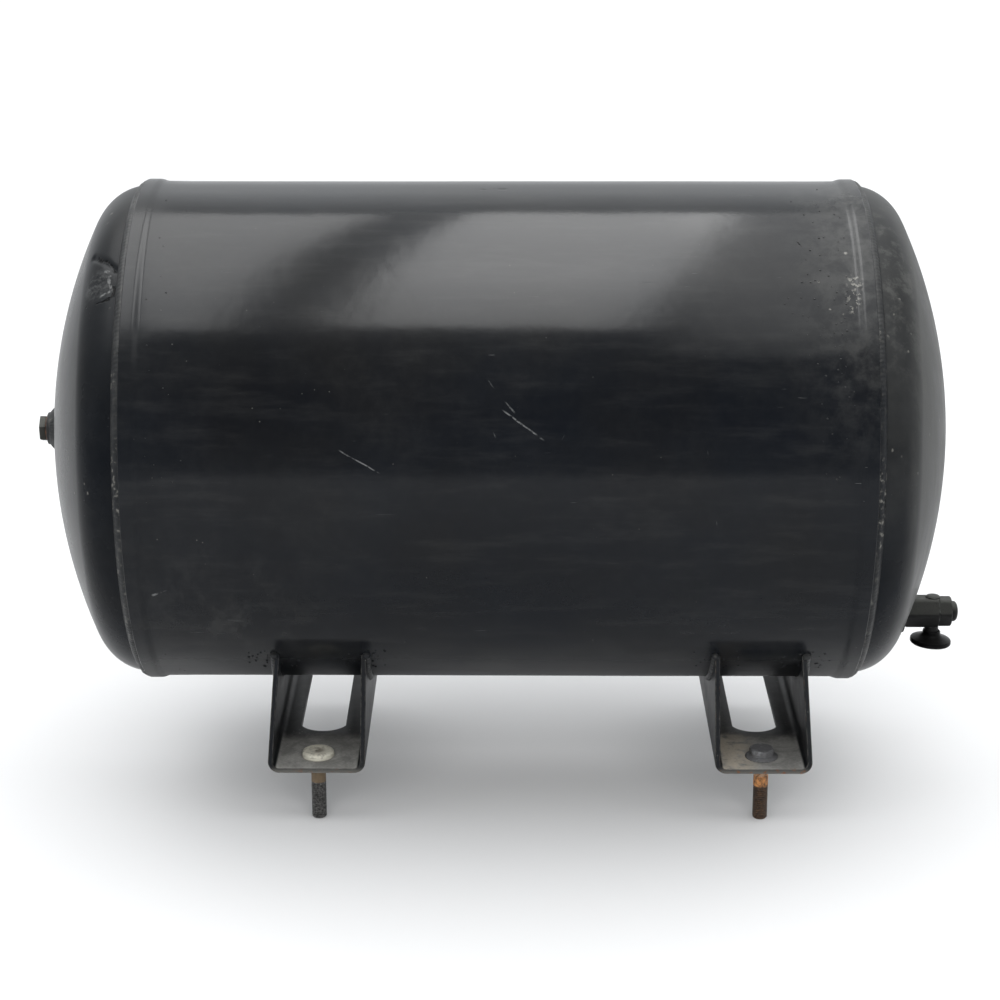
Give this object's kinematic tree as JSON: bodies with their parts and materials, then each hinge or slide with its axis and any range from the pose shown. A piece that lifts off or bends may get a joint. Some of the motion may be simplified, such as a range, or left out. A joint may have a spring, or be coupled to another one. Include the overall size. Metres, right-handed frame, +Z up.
{
  "type": "air receiver tank",
  "caption": "Horizontal cylindrical steel air tank with dished ends, folded channel feet with hanging bolts, screwed ports and a push-button drain valve.",
  "frame": {"origin": "midway between the two mounting bolts, on the underside plane of the feet", "axes": "+X along the tank axis towards the drain valve, +Y towards the rear ports, +Z up"},
  "size_m": [0.745, 0.4066, 0.4876],
  "materials": {
    "shell_paint": "semi-gloss black, scuffed and dusty",
    "head_paint": "semi-gloss black, scuffed, grey with road dust",
    "weld_paint": "painted weld bead",
    "socket_paint": "painted turned steel",
    "foot_paint": "worn black paint under dust",
    "plug_steel": "blackened steel",
    "seal_copper": "dull copper",
    "seal_rubber": "nitrile rubber",
    "valve_paint": "black coated, dusty",
    "valve_brass": "turned brass",
    "spring_steel": "bright spring wire",
    "button_plastic": "moulded black plastic",
    "pale_zinc": "dull zinc, dusty, rust below the head",
    "rusty_steel": "rusted steel, dark head"
  },
  "bodies": {
    "tank": {"shell": "shell_paint", "shell_seam_weld": "weld_paint", "left_head": "head_paint", "right_head": "head_paint", "left_girth_weld": "weld_paint", "right_girth_weld": "weld_paint", "end_port_socket": "socket_paint", "end_port_weld": "weld_paint", "end_port_seal": "seal_copper", "end_port_plug": "plug_steel", "supply_port_socket": "socket_paint", "supply_port_weld": "weld_paint", "delivery_port_socket": "socket_paint", "delivery_port_weld": "weld_paint", "drain_port_socket": "socket_paint", "drain_port_weld": "weld_paint", "drain_seal": "seal_rubber", "drain_valve_body": "valve_paint", "drain_end_cap": "valve_paint", "drain_top_cap": "valve_paint", "drain_spring": "spring_steel", "left_foot": "foot_paint", "right_foot": "foot_paint", "left_foot_welds": "weld_paint", "right_foot_welds": "weld_paint"},
    "left_bolt": {"left_foot_bolt": "pale_zinc"},
    "right_bolt": {"right_foot_bolt": "rusty_steel"},
    "drain_push": {"drain_button": "button_plastic", "drain_poppet": "valve_brass", "drain_poppet_seal": "seal_rubber"}
  },
  "joints": [
    {"name": "left_bolt_lift", "type": "slide", "parent": "tank", "child": "left_bolt", "axis": [0, 0, 1], "range_m": [0, 0.05]},
    {"name": "right_bolt_lift", "type": "slide", "parent": "tank", "child": "right_bolt", "axis": [0, 0, 1], "range_m": [0, 0.05]},
    {"name": "drain_button_press", "type": "slide", "parent": "tank", "child": "drain_push", "axis": [0, 0, 1], "range_m": [0, 0.0032], "stiffness_N_per_m": 900, "springref_m": -0.006, "deforming": ["drain_spring"]}
  ]
}
